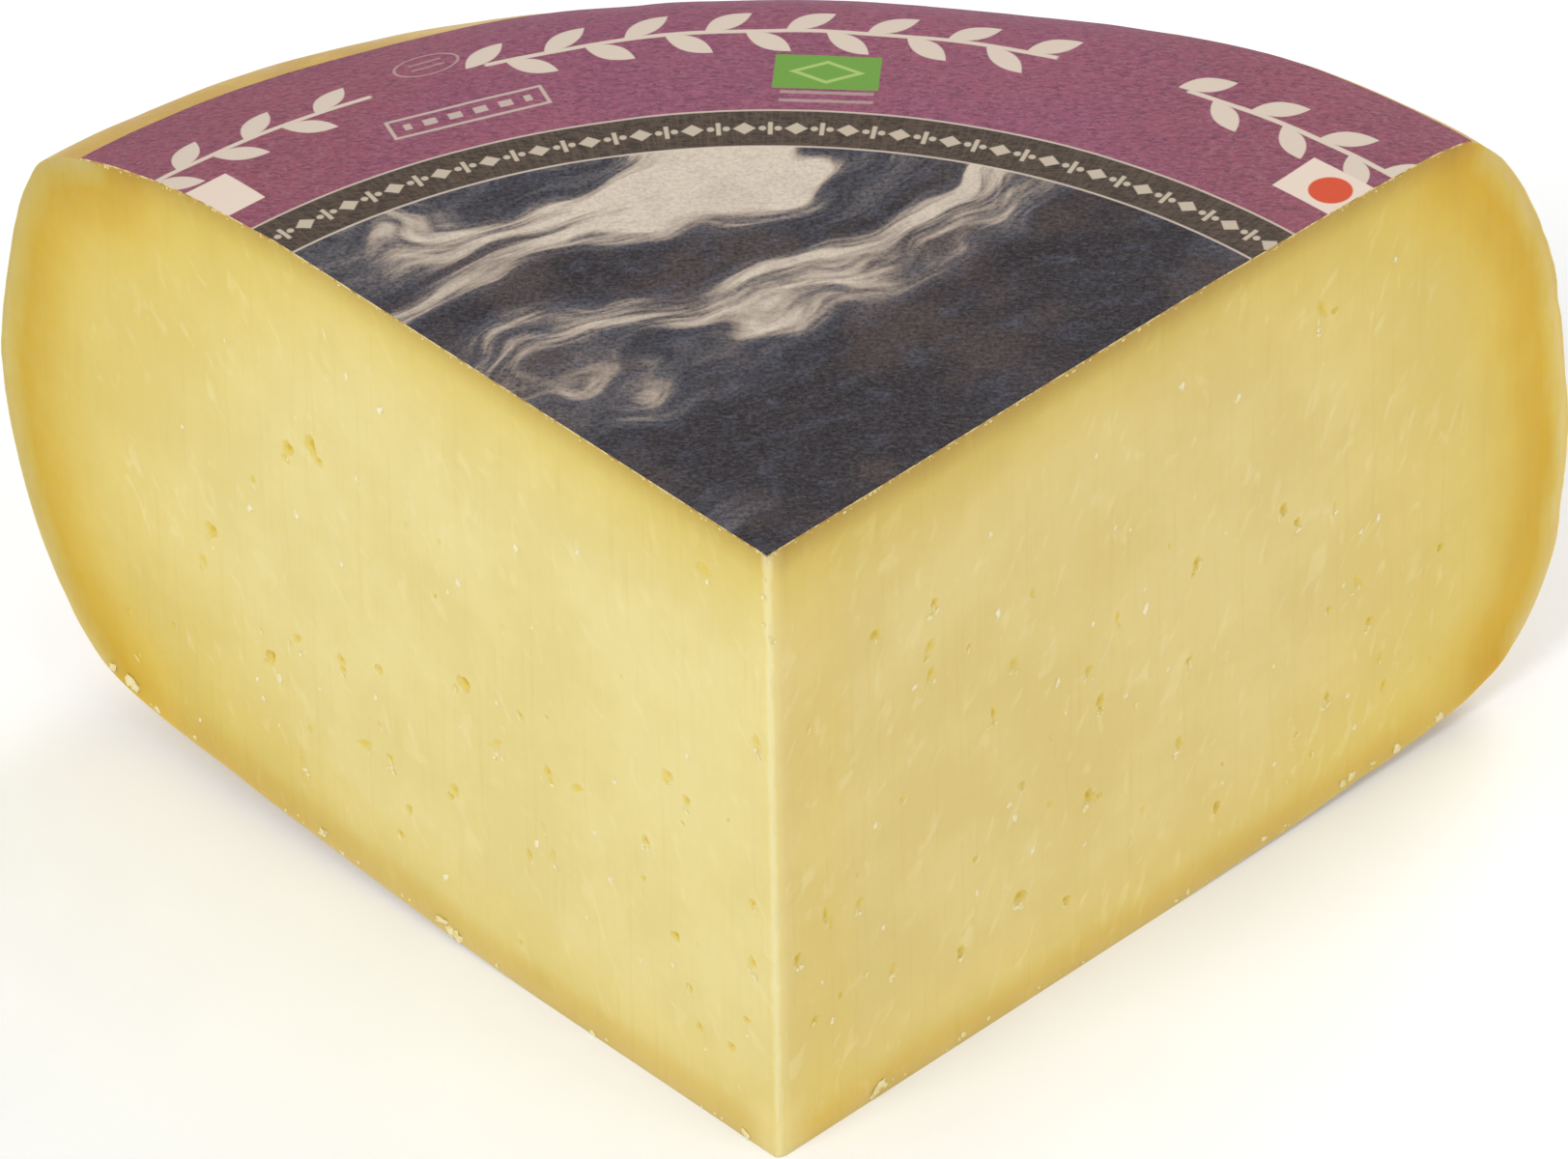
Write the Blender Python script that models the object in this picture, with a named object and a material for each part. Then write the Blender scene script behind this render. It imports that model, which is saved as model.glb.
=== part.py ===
"""A quarter of a round semi-hard cheese, with the paper label that lies on its top.

Metres, +Z up. The cheese stands on its flat underside, and the origin is the middle
of the box round it, at the underside. The tip, the upright edge where the two cuts
meet, points along -Y. Seen from the tip, the left cut runs at 135 degrees and the
right cut at 45 degrees, measured from +X.
"""
import math
import random

import bmesh
import bpy
from mathutils import Matrix, Vector

# The wheel that the quarter is cut from, and where its middle stands
WHEEL_HEIGHT = 0.098
TIP_X = 0.0006
TIP_Y = -0.0707
CENTRE_X = TIP_X - 0.0013
CENTRE_Y = TIP_Y - 0.0087

# Half sections of the wheel as (radius, height), from the middle of the top, over the
# shoulder, round the belly and the heel, to the middle of the underside. The wheel
# sagged unevenly while it ripened, so its section differs round the rim.
LEFT_SECTION = (
    (0.0000, 0.0980), (0.0950, 0.0980), (0.1120, 0.0963), (0.1260, 0.0931),
    (0.1378, 0.0884), (0.1431, 0.0811), (0.1472, 0.0671), (0.1499, 0.0498),
    (0.1481, 0.0348), (0.1434, 0.0213), (0.1362, 0.0108), (0.1265, 0.0059),
    (0.1000, 0.0031), (0.0695, 0.0008), (0.0500, 0.0000), (0.0000, 0.0000),
)
BACK_SECTION = (
    (0.0000, 0.0980), (0.0880, 0.0980), (0.1090, 0.0976), (0.1240, 0.0956),
    (0.1345, 0.0889), (0.1415, 0.0819), (0.1472, 0.0665), (0.1500, 0.0480),
    (0.1493, 0.0320), (0.1460, 0.0185), (0.1385, 0.0080), (0.1300, 0.0030),
    (0.1180, 0.0004), (0.1080, 0.0000), (0.0900, 0.0000), (0.0000, 0.0000),
)
RIGHT_SECTION = (
    (0.0000, 0.0980), (0.0850, 0.0980), (0.1080, 0.0973), (0.1270, 0.0961),
    (0.1342, 0.0929), (0.1410, 0.0823), (0.1469, 0.0666), (0.1500, 0.0420),
    (0.1495, 0.0293), (0.1476, 0.0183), (0.1415, 0.0083), (0.1320, 0.0032),
    (0.1090, 0.0011), (0.0880, 0.0003), (0.0780, 0.0000), (0.0000, 0.0000),
)
# Angles, from +X, over which one section turns into the next
RIGHT_UNTIL = 58.0
BACK_FROM = 79.0
BACK_UNTIL = 94.0
LEFT_FROM = 118.0
COLUMN_STEP = 2.5
SPAN_STEPS = 3

# The cuts
TIP_ROUNDING = 0.0006
CUTTER_REACH = 0.200
CUTTER_MARGIN = 0.020

# The label: a paper disc laid on the wheel, a little off its middle, and down its shoulder
LABEL_RADIUS = 0.1330
LABEL_SHIFT_X = -0.0010
LABEL_SHIFT_Y = -0.0020
LABEL_THICKNESS = 0.00035
LABEL_GAP = 0.0003
LABEL_FLAT_RINGS = 3
LABEL_DRAPE_RINGS = 12
LABEL_DRAPE_FROM = 0.080

# Eyes: small slanted holes that the knife opened. The larger ones stand at
# (distance from the tip, height, length, width) on each cut.
RIGHT_EYES = (
    (0.0284, 0.0745, 0.0018, 0.0010), (0.0183, 0.0753, 0.0022, 0.0013),
    (0.0276, 0.0680, 0.0026, 0.0011), (0.0276, 0.0637, 0.0024, 0.0010),
    (0.0748, 0.0545, 0.0018, 0.0012), (0.0606, 0.0537, 0.0018, 0.0008),
    (0.0421, 0.0569, 0.0018, 0.0012), (0.0575, 0.0420, 0.0024, 0.0010),
    (0.0972, 0.0830, 0.0018, 0.0012), (0.0715, 0.0270, 0.0018, 0.0010),
    (0.0553, 0.0275, 0.0020, 0.0013), (0.0905, 0.0544, 0.0018, 0.0009),
    (0.0430, 0.0181, 0.0026, 0.0014), (0.0324, 0.0153, 0.0018, 0.0010),
    (0.0067, 0.0191, 0.0022, 0.0010),
)
LEFT_EYES = (
    (0.0888, 0.0652, 0.0024, 0.0012), (0.0843, 0.0678, 0.0030, 0.0013),
    (0.1050, 0.0425, 0.0024, 0.0014), (0.0115, 0.0896, 0.0026, 0.0014),
    (0.0885, 0.0341, 0.0024, 0.0012), (0.0939, 0.0281, 0.0020, 0.0014),
    (0.0802, 0.0354, 0.0022, 0.0011), (0.0567, 0.0445, 0.0034, 0.0020),
    (0.0763, 0.0238, 0.0032, 0.0020), (0.0593, 0.0261, 0.0024, 0.0013),
    (0.0351, 0.0416, 0.0024, 0.0013), (0.0192, 0.0520, 0.0030, 0.0018),
    (0.0157, 0.0504, 0.0022, 0.0012), (0.0234, 0.0389, 0.0020, 0.0012),
)
SMALL_EYES_PER_CUT = 14
SMALL_EYE_LENGTH = 0.0015
SMALL_EYE_WIDTH = 0.0008
EYE_LEAN = 0.45
EYE_SINK = 0.25
EYE_SPACING = 0.0045
EYE_SEGMENTS = 8
EYE_RINGS = 6
EYE_SEED = 7


def smooth_profile(points):
    """Points along a smooth curve through the section's points, kept between the flats."""
    points = [Vector(p) for p in points]
    result = [points[0]]
    for i in range(1, len(points) - 2):
        before, start, end, after = points[i - 1:i + 3]
        if i == 1:
            before = start - (end - start)
        if i == len(points) - 3:
            after = end + (end - start)
        for step in range(SPAN_STEPS):
            t = step / SPAN_STEPS
            pull_in = (end - before) * 0.5
            pull_out = (after - start) * 0.5
            point = (
                start * (2 * t ** 3 - 3 * t ** 2 + 1)
                + pull_in * (t ** 3 - 2 * t ** 2 + t)
                + end * (3 * t ** 2 - 2 * t ** 3)
                + pull_out * (t ** 3 - t ** 2)
            )
            point.y = min(max(point.y, 0.0), WHEEL_HEIGHT)
            result.append(point)
    return result + [points[-2], points[-1]]


def ease(value, start, end):
    """0 before start, 1 after end, and smoothly between."""
    t = min(max((value - start) / (end - start), 0.0), 1.0)
    return t * t * (3 - 2 * t)


def section_at(degrees, profiles):
    """The wheel's half section at an angle, blended from the three measured ones."""
    left, back, right = profiles
    if degrees > 270.0:
        degrees -= 360.0
    to_back = ease(degrees, RIGHT_UNTIL, BACK_FROM)
    to_left = ease(degrees, BACK_UNTIL, LEFT_FROM)
    if degrees > 180.0:
        to_left *= ease(270.0 - degrees, 0.0, 90.0)
    elif degrees < 0.0:
        to_back = ease(-degrees, 0.0, 90.0)
    return [
        r.lerp(b, to_back).lerp(l, to_left)
        for l, b, r in zip(left, back, right)
    ]


def loft(bm, rings, closed_top, closed_bottom):
    """Skins rings of points, top ring first; a closed end narrows to one point."""
    rows = [[bm.verts.new(p) for p in ring] for ring in rings]
    count = len(rows[0])
    for upper, lower in zip(rows, rows[1:]):
        for i in range(count):
            j = (i + 1) % count
            bm.faces.new((upper[i], lower[i], lower[j], upper[j]))
    for row, point in ((rows[0], closed_top), (rows[-1], closed_bottom)):
        hub = bm.verts.new(point)
        for i in range(count):
            bm.faces.new((hub, row[i], row[(i + 1) % count]))
    bmesh.ops.recalc_face_normals(bm, faces=bm.faces)


def object_from(bm, name, collection):
    mesh = bpy.data.meshes.new(name)
    bm.to_mesh(mesh)
    bm.free()
    obj = bpy.data.objects.new(name, mesh)
    collection.objects.link(obj)
    return obj


def around(radius, height, degrees):
    angle = math.radians(degrees)
    return Vector((
        CENTRE_X + radius * math.cos(angle),
        CENTRE_Y + radius * math.sin(angle),
        height,
    ))


def column_angles():
    return [i * COLUMN_STEP for i in range(round(360 / COLUMN_STEP))]


def make_wheel(profiles, collection):
    """The whole round wheel, before it is cut."""
    columns = [(a, section_at(a, profiles)) for a in column_angles()]
    inner = range(1, len(columns[0][1]) - 1)
    rings = [[around(s[k].x, s[k].y, a) for a, s in columns] for k in inner]
    bm = bmesh.new()
    loft(bm, rings, around(0, WHEEL_HEIGHT, 0), around(0, 0, 0))
    return object_from(bm, "cheese", collection)


def drape_point(section, distance, lift):
    """The point that far along a section from its middle, lifted square off the surface."""
    walked = 0.0
    for start, end in zip(section, section[1:]):
        span = (end - start).length
        if walked + span >= distance:
            along = (end - start) / span
            outward = Vector((-along.y, along.x))
            return start + along * (distance - walked) + outward * lift
        walked += span
    return section[-1]


def make_label(profiles, collection):
    """The paper disc, which follows the top and bends down over the shoulder."""
    flat = [LABEL_DRAPE_FROM * (k + 1) / LABEL_FLAT_RINGS for k in range(LABEL_FLAT_RINGS)]
    drape = LABEL_RADIUS - LABEL_DRAPE_FROM
    bent = [
        LABEL_DRAPE_FROM + drape * (k + 1) / LABEL_DRAPE_RINGS
        for k in range(LABEL_DRAPE_RINGS)
    ]
    distances = flat + bent
    top_lift = LABEL_GAP + LABEL_THICKNESS
    columns = [(a, section_at(a, profiles)) for a in column_angles()]
    rings = []
    for lift, order in ((top_lift, distances), (LABEL_GAP, distances[::-1])):
        for distance in order:
            ring = []
            for degrees, section in columns:
                turn = math.radians(degrees)
                edge_shift = LABEL_SHIFT_X * math.cos(turn) + LABEL_SHIFT_Y * math.sin(turn)
                reach = distance + edge_shift * distance / LABEL_RADIUS
                p = drape_point(section, reach, lift)
                ring.append(around(p.x, p.y, degrees))
            rings.append(ring)
    top_hub = around(0, WHEEL_HEIGHT + top_lift, 0)
    bm = bmesh.new()
    loft(bm, rings, top_hub, around(0, WHEEL_HEIGHT + LABEL_GAP, 0))
    return object_from(bm, "top_label", collection)


def cut_frame():
    """Local X runs along the right cut and local Y along the left cut, from the tip."""
    return Matrix.Translation((TIP_X, TIP_Y, 0)) @ Matrix.Rotation(math.radians(45), 4, "Z")


def make_wedge_cutter(collection):
    """A square block with a slightly rounded upright edge, which stands at the tip."""
    bm = bmesh.new()
    bmesh.ops.create_cube(bm, size=1.0)
    height = WHEEL_HEIGHT + 2 * CUTTER_MARGIN
    bmesh.ops.translate(bm, verts=bm.verts, vec=(0.5, 0.5, 0.5))
    bmesh.ops.scale(bm, verts=bm.verts, vec=(CUTTER_REACH, CUTTER_REACH, height))
    bmesh.ops.translate(bm, verts=bm.verts, vec=(0, 0, -CUTTER_MARGIN))
    tip_edge = [
        e for e in bm.edges
        if all(v.co.xy.length < CUTTER_REACH / 2 for v in e.verts)
    ]
    bmesh.ops.bevel(
        bm, geom=tip_edge, offset=TIP_ROUNDING, segments=3, profile=0.5, affect="EDGES"
    )
    cutter = object_from(bm, "wedge_cutter", collection)
    cutter.matrix_world = cut_frame()
    return cutter


def scattered_eyes(rng, taken):
    """Small eyes, mostly in the lower half and towards the tip, clear of the others."""
    eyes = []
    while len(eyes) < SMALL_EYES_PER_CUT:
        along = 0.006 + 0.106 * rng.random() ** 1.3
        height = 0.010 + 0.062 * rng.random()
        spots = [e[:2] for e in list(taken) + eyes]
        if all(math.dist((along, height), s) > EYE_SPACING for s in spots):
            size = rng.uniform(0.8, 1.25)
            eyes.append((along, height, SMALL_EYE_LENGTH * size, SMALL_EYE_WIDTH * size))
    return eyes


def make_eyes(name, eyes, on_right, rng, collection):
    """Stretched, leaning balls along one cut, to be taken out of the cheese."""
    bm = bmesh.new()
    for along, height, length, width in eyes:
        lean = rng.uniform(-EYE_LEAN, EYE_LEAN)
        depth = width * rng.uniform(0.9, 1.3)
        sink = depth * EYE_SINK
        size = Matrix.Diagonal((width / 2, depth, length / 2, 1))
        place = Matrix.Translation((along, sink, height))
        shape = place @ Matrix.Rotation(lean, 4, "Y") @ size
        if not on_right:
            swap = Matrix(((0, 1, 0, 0), (1, 0, 0, 0), (0, 0, 1, 0), (0, 0, 0, 1)))
            shape = swap @ shape
        bmesh.ops.create_uvsphere(
            bm, u_segments=EYE_SEGMENTS, v_segments=EYE_RINGS, radius=1.0, matrix=shape
        )
    bmesh.ops.recalc_face_normals(bm, faces=bm.faces)
    cutter = object_from(bm, name, collection)
    cutter.matrix_world = cut_frame()
    return cutter


def add_boolean(obj, operation, operand):
    modifier = obj.modifiers.new(f"{operation} {operand.name}", "BOOLEAN")
    modifier.operation = operation
    modifier.solver = "EXACT"
    modifier.object = operand
    return modifier


def material(name, colour, roughness, subsurface=0.0):
    mat = bpy.data.materials.new(name)
    mat.use_nodes = True
    mat.diffuse_color = colour
    shader = mat.node_tree.nodes["Principled BSDF"]
    shader.inputs["Base Color"].default_value = colour
    shader.inputs["Roughness"].default_value = roughness
    shader.inputs["Metallic"].default_value = 0.0
    shader.inputs["Subsurface Weight"].default_value = subsurface
    return mat


def shade(obj, mat, sharp_angle):
    obj.data.materials.append(mat)
    obj.data.shade_smooth()
    obj.data.set_sharp_from_angle(angle=math.radians(sharp_angle))


def hide_cutter(obj):
    obj.hide_render = True
    obj.display_type = "WIRE"


def main():
    for obj in list(bpy.data.objects):
        bpy.data.objects.remove(obj, do_unlink=True)
    parts = bpy.data.collections.new("cheese_wedge")
    cutters = bpy.data.collections.new("cutters")
    for collection in (parts, cutters):
        bpy.context.scene.collection.children.link(collection)

    profiles = [smooth_profile(s) for s in (LEFT_SECTION, BACK_SECTION, RIGHT_SECTION)]
    rng = random.Random(EYE_SEED)
    right_eyes = list(RIGHT_EYES) + scattered_eyes(rng, RIGHT_EYES)
    left_eyes = list(LEFT_EYES) + scattered_eyes(rng, LEFT_EYES)

    cheese = make_wheel(profiles, parts)
    label = make_label(profiles, parts)
    wedge = make_wedge_cutter(cutters)
    right = make_eyes("right_eyes", right_eyes, True, rng, cutters)
    left = make_eyes("left_eyes", left_eyes, False, rng, cutters)

    add_boolean(cheese, "INTERSECT", wedge)
    add_boolean(cheese, "DIFFERENCE", right)
    add_boolean(cheese, "DIFFERENCE", left)
    add_boolean(label, "INTERSECT", wedge)

    shade(cheese, material("cheese", (0.78, 0.62, 0.24, 1.0), 0.45, 0.1), 40)
    shade(label, material("label_paper", (0.29, 0.11, 0.15, 1.0), 0.65), 40)
    for cutter in (wedge, right, left):
        hide_cutter(cutter)


main()
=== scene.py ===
"""The looks of a quarter of a semi-hard cheese with a paper label on its top.

Everything is in metres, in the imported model's frame: the tip of the wedge points
along -Y, the right cut runs from it at 45 degrees and the left cut at 135 degrees.
"""

import functools
import math
import random

import bmesh
import bpy
import numpy as np
from mathutils import Matrix, Vector, noise
from mathutils.bvhtree import BVHTree
from mathutils.geometry import delaunay_2d_cdt


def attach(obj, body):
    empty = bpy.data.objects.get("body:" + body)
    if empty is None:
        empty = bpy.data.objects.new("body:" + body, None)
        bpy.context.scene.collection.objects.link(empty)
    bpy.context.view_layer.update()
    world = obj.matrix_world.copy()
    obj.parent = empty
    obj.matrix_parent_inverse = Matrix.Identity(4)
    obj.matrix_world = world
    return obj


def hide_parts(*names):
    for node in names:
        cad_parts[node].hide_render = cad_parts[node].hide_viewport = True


MM = 0.001

# The wheel, as in the CAD model. A section is a run of (radius, height) in millimetres
HEIGHT = 0.098
TIP = np.array((0.0006, -0.0707))
CENTRE = TIP + np.array((-0.0013, -0.0087))
LEFT_SECTION = (
    (0.0, 98.0), (95.0, 98.0), (112.0, 96.3), (126.0, 93.1), (137.8, 88.4), (143.1, 81.1),
    (147.2, 67.1), (149.9, 49.8), (148.1, 34.8), (143.4, 21.3), (136.2, 10.8), (126.5, 5.9),
    (100.0, 3.1), (69.5, 0.8), (50.0, 0.0), (0.0, 0.0),
)
BACK_SECTION = (
    (0.0, 98.0), (88.0, 98.0), (109.0, 97.6), (124.0, 95.6), (134.5, 88.9), (141.5, 81.9),
    (147.2, 66.5), (150.0, 48.0), (149.3, 32.0), (146.0, 18.5), (138.5, 8.0), (130.0, 3.0),
    (118.0, 0.4), (108.0, 0.0), (90.0, 0.0), (0.0, 0.0),
)
RIGHT_SECTION = (
    (0.0, 98.0), (85.0, 98.0), (108.0, 97.3), (127.0, 96.1), (134.2, 92.9), (141.0, 82.3),
    (146.9, 66.6), (150.0, 42.0), (149.5, 29.3), (147.6, 18.3), (141.5, 8.3), (132.0, 3.2),
    (109.0, 1.1), (88.0, 0.3), (78.0, 0.0), (0.0, 0.0),
)
RIGHT_UNTIL = 58.0
BACK_FROM = 79.0
BACK_UNTIL = 94.0
LEFT_FROM = 118.0
RIGHT_CUT = 45.0
LEFT_CUT = 135.0

# How fine the visible mesh is: steps per span of a section, columns round the rind, rows
# over the flat top, and metres between points at the tip and in the cuts
SPAN_STEPS = 8
COLUMNS = 100
FLAT_ROWS = 60
TIP_STEP = 0.0010
CUT_GRID = 0.00115
GRID_JITTER = 0.25

# Unevenness of the surfaces
RIND_WAVE = 0.00022
RIND_WAVE_SIZE = 0.016
CUT_WAVE = 0.00010
CUT_WAVE_SIZE = 0.022
RIDGE = 0.00002
RIDGE_PITCH = 0.0022
RIDGE_LENGTH = 0.03
EDGE_WEAR = 0.00030
EDGE_WEAR_REACH = 0.0006
NICK = 0.00032
NICK_SIZE = 0.0045

# Chips out of the upright edge at the tip: height, reach and depth in millimetres
TIP_CHIPS = (
    (96.8, 1.3, 0.35), (90.5, 0.9, 0.3), (70.0, 1.1, 0.2), (45.5, 1.4, 0.3), (23.0, 1.0, 0.3),
    (4.5, 1.6, 0.2),
)

# Degrees from a cut over which the skin is nicked
NICK_REACH = 3.0

# The larger eyes of each cut: distance from the tip, height, length and width in
# millimetres, and lean in radians
RIGHT_EYES = (
    (28.4, 74.5, 1.9, 1.2, 0.3), (18.3, 75.3, 1.4, 2.2, 0.2), (27.6, 68.2, 2.4, 1.4, 0.6),
    (27.6, 63.7, 2.2, 1.1, 0.3), (74.8, 54.5, 1.9, 1.6, 0.1), (60.6, 53.7, 1.9, 0.9, 0.2),
    (42.1, 56.9, 1.5, 1.9, 0.4), (57.5, 42.0, 2.3, 1.3, 0.3), (97.2, 83.0, 3.3, 1.5, -0.6),
    (71.5, 27.0, 2.0, 1.3, 0.1), (55.3, 27.5, 2.2, 1.7, -0.3), (90.5, 54.4, 1.8, 1.5, 0.0),
    (93.0, 50.9, 1.5, 1.0, 0.2), (38.5, 51.1, 2.0, 1.0, -0.2), (55.4, 48.0, 1.6, 1.4, 0.2),
    (43.0, 18.1, 1.8, 2.2, -0.3), (32.4, 15.3, 1.8, 1.5, 0.1), (6.7, 19.1, 1.6, 1.5, 0.2),
    (3.9, 31.0, 1.8, 1.2, 0.1), (43.4, 36.2, 1.4, 1.4, 0.3), (109.1, 14.7, 2.2, 1.1, 0.1),
    (106.4, 27.0, 1.5, 1.3, 0.2), (104.0, 35.2, 2.0, 1.2, -0.2), (119.4, 31.7, 1.3, 1.1, 0.1),
    (98.5, 18.7, 1.5, 1.0, 0.2), (78.4, 12.1, 1.8, 1.3, 0.1), (51.3, 12.6, 1.4, 1.4, 0.3),
    (8.9, 35.4, 3.4, 0.9, -0.1),
)
LEFT_EYES = (
    (88.8, 65.2, 2.5, 1.9, 0.2), (84.3, 68.2, 2.9, 2.1, 0.2), (104.5, 43.0, 2.6, 1.9, 0.2),
    (106.3, 37.0, 2.0, 1.4, 0.3), (11.5, 89.6, 1.5, 2.8, -0.2), (88.5, 34.1, 2.2, 1.3, -0.5),
    (93.9, 28.1, 2.0, 1.9, 0.1), (80.2, 35.4, 2.1, 1.4, 0.2), (72.9, 38.1, 1.6, 1.4, 0.3),
    (56.7, 45.2, 2.4, 2.2, -0.3), (76.3, 23.8, 1.7, 3.0, 0.3), (50.7, 39.0, 2.5, 1.0, -0.7),
    (59.3, 26.1, 2.2, 1.6, 0.2), (68.1, 17.6, 1.7, 1.3, 0.1), (70.0, 12.5, 1.4, 1.2, 0.3),
    (41.4, 39.6, 1.9, 1.2, 0.1), (36.0, 40.0, 1.2, 2.4, 0.4), (19.2, 52.0, 2.0, 2.0, 0.0),
    (15.7, 50.0, 1.8, 1.2, 0.3), (2.6, 67.2, 2.4, 1.2, 0.1), (45.3, 23.6, 1.4, 1.0, 0.3),
    (23.4, 38.9, 1.6, 1.3, 0.3), (18.3, 26.2, 1.3, 1.8, 0.2), (4.0, 40.0, 1.7, 1.3, 0.2),
    (4.2, 30.3, 2.0, 1.3, 0.1), (14.3, 13.6, 1.4, 1.1, 0.2), (8.5, 13.8, 1.5, 1.2, 0.1),
    (16.0, 19.0, 1.2, 1.2, 0.1),
)
SMALL_EYES = 26
SMALL_EYE_SPACING = 0.0035

# An eye's depth as a share of its width, the length from which it has a lobe, the rings of
# points round it as (share of its outline, count), and where the even grid begins again
EYE_DEPTH = 0.27
LOBED_FROM = 0.0018
EYE_RINGS = (
    (0.3, 7), (0.55, 9), (0.76, 12), (0.9, 14), (0.98, 16), (1.03, 16), (1.3, 14), (1.7, 12),
)
EYE_CLEARING = 1.9

# How far an eye's hollow and its painted shade reach, as shares of its outline
EYE_REACH = 3
PIT_REACH = 1.25

# Where the rind is steep enough to count as the rim, and how far from its outline a cut
# comes to its full waves
STEEP_BELOW_TOP = 0.006
STEEP_ABOVE_FOOT = 0.0075
CALM_REACH = 0.006

# The label
LABEL_RADIUS = 0.1336
LABEL_SHIFT_X = -0.0010
LABEL_SHIFT_Y = -0.0020
LABEL_LIFT = 0.00002
LABEL_THICKNESS = 0.00026
LABEL_DRAPE_ROWS = 40

# Small bits: how many there are on one cut
SPECKS = 34
FOOT_CRUMBS = 30
TOP_CRUMBS = 70
TIP_CRUMBS = 3
FLAKES = 40

# Small bits: their forms, and how they are laid on the surface
TORN_SHARE = 0.55
LUMPINESS = 0.9
FLAKE_STEPS = 7
FLAKE_LIFT = 0.00003
FLAKE_SINK = 0.00002
CLEAR_RATIO = 1.3
SPECK_CLEARING = 0.0025
FOOT_MARGIN = 0.004
TOP_MARGIN = 0.006
SEEK = 0.004

SEED = 11


def numbers(section):
    """A half section as a smooth run of points, kept between the top and the underside."""
    points = np.array(section) / 1000
    rows = [points[0]]
    for i in range(1, len(points) - 2):
        before, start, end, after = points[i - 1], points[i], points[i + 1], points[i + 2]
        if i == 1:
            before = start - (end - start)
        if i == len(points) - 3:
            after = end + (end - start)
        for step in range(SPAN_STEPS):
            t = step / SPAN_STEPS
            point = (
                start * (2 * t ** 3 - 3 * t ** 2 + 1)
                + (end - before) * 0.5 * (t ** 3 - 2 * t ** 2 + t)
                + end * (3 * t ** 2 - 2 * t ** 3)
                + (after - start) * 0.5 * (t ** 3 - t ** 2)
            )
            rows.append(np.array((point[0], min(max(point[1], 0.0), HEIGHT))))
    return np.array(rows + [points[-2], points[-1]])


LEFT_RUN, BACK_RUN, RIGHT_RUN = map(numbers, (LEFT_SECTION, BACK_SECTION, RIGHT_SECTION))


def ease(value, start, end):
    """0 before start, 1 after end, and smoothly between."""
    t = min(max((value - start) / (end - start), 0.0), 1.0)
    return t * t * (3 - 2 * t)


def direction(degrees):
    """The unit vector at an angle round the tip."""
    return np.array((math.cos(math.radians(degrees)), math.sin(math.radians(degrees))))


def section_at(degrees):
    """The wheel's half section at an angle round its middle."""
    to_back = ease(degrees, RIGHT_UNTIL, BACK_FROM)
    to_left = ease(degrees, BACK_UNTIL, LEFT_FROM)
    run = RIGHT_RUN * (1 - to_back) + BACK_RUN * to_back
    return run * (1 - to_left) + LEFT_RUN * to_left


def reach_from_tip(degrees):
    """The wheel's section in an upright plane through the tip: (distance, height) rows,
    from the outer edge of the flat top to the outer edge of the flat foot."""
    heading = direction(degrees)
    offset = TIP - CENTRE
    along = offset @ heading
    rows = []
    for k in range(1, len(LEFT_RUN) - 1):
        angle = degrees
        for _ in range(5):
            radius, height = section_at(angle)[k]
            distance = -along + math.sqrt(along ** 2 - offset @ offset + radius ** 2)
            there = offset + heading * distance
            angle = math.degrees(math.atan2(there[1], there[0]))
        rows.append((distance, height))
    return np.array(rows)


def fractal(x, y, z, octaves=3):
    """Smooth unevenness between about -1 and 1."""
    total, size, weight = 0.0, 1.0, 0.0
    for k in range(octaves):
        total += noise.noise((x * 2 ** k, y * 2 ** k, z * 2 ** k + 7.3 * k)) * size
        weight += size
        size *= 0.5
    return total / weight * 1.6


def in_plane_normals(rows):
    """Unit vectors square to a run of points, pointing out of the cheese."""
    step = np.gradient(rows, axis=0)
    length = np.maximum(np.hypot(step[:, 0], step[:, 1]), 1e-9)
    return np.stack((-step[:, 1] / length, step[:, 0] / length), 1)


def column_rows(degrees):
    """One column of the rind, from the top of the tip round to its foot."""
    bend = reach_from_tip(degrees)
    flat = np.linspace(0, 1, FLAT_ROWS, endpoint=False)[:, None]
    top = bend[0] * flat + np.array((0, HEIGHT)) * (1 - flat)
    foot = (bend[-1] * flat + np.array((0, 0.0)) * (1 - flat))[::-1]
    rows = np.concatenate((top, bend, foot))
    outward = -in_plane_normals(rows)
    if outward[len(rows) // 2, 0] < 0:
        outward = -outward
    c, s = direction(degrees)
    for k in range(FLAT_ROWS, len(rows) - FLAT_ROWS):
        r, z = rows[k]
        place = np.array((TIP[0] + r * c, TIP[1] + r * s, z)) / RIND_WAVE_SIZE
        fade = min(1.0, (k - FLAT_ROWS) / 12, (len(rows) - FLAT_ROWS - 1 - k) / 12)
        rows[k] += outward[k] * RIND_WAVE * fade * fractal(*place)
        rows[k] -= outward[k] * nick(degrees, r, z) * fade
    return rows


def nick(degrees, r, z):
    """How deep the skin is nicked beside the two cuts, where the knife tore it."""
    near = max(0.0, 1 - min(degrees - RIGHT_CUT, LEFT_CUT - degrees) / NICK_REACH)
    side = 2.0 if degrees < 90 else 9.0
    bite = fractal(r / NICK_SIZE, z / NICK_SIZE, side + degrees / 4, 2)
    return NICK * near * max(0.0, bite - 0.05)


def scattered_eyes(rng, taken):
    """Small eyes between the larger ones, mostly low and towards the tip."""
    eyes = []
    while len(eyes) < SMALL_EYES:
        along = 0.005 + 0.117 * rng.random() ** 1.2
        height = 0.007 + 0.062 * rng.random()
        spots = [e[:2] for e in list(taken) + eyes]
        if all(math.dist((along, height), s) > SMALL_EYE_SPACING for s in spots):
            size = rng.uniform(0.5, 1.15) * MM
            eyes.append((along, height, size * rng.uniform(1, 1.7), size, rng.uniform(-0.5, 0.7)))
    return eyes


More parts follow.
